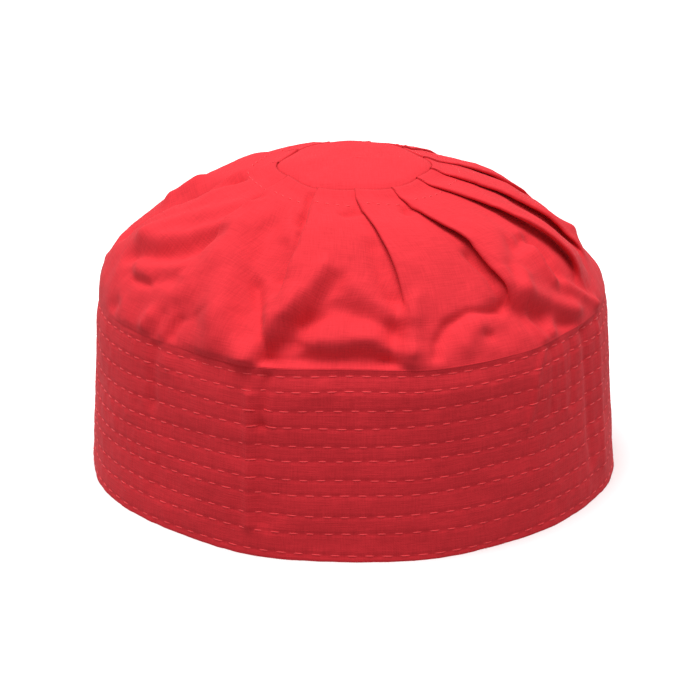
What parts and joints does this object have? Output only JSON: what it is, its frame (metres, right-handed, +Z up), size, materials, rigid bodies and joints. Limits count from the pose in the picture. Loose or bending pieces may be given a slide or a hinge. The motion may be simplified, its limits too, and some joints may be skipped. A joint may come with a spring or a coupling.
{
  "type": "pleated kufi cap",
  "caption": "Brimless cotton cap with a stitched upright band, a crown laid in knife pleats and a small round tip, open below for the head.",
  "frame": {"origin": "centre of the hem, in the plane on which the cap rests", "axes": "+Z up along the axis of the cap, -Y towards the front of the cap, +X towards the right of someone who faces the front"},
  "size_m": [0.1845, 0.1851, 0.1091],
  "materials": {
    "band_cotton": "plain-weave cotton, matt, stitched in rows",
    "crown_cotton": "plain-weave cotton, matt with a faint sheen",
    "tip_cotton": "plain-weave cotton, matt with a faint sheen"
  },
  "bodies": {
    "root": {"band": "band_cotton", "crown": "crown_cotton", "tip": "tip_cotton"}
  },
  "joints": []
}
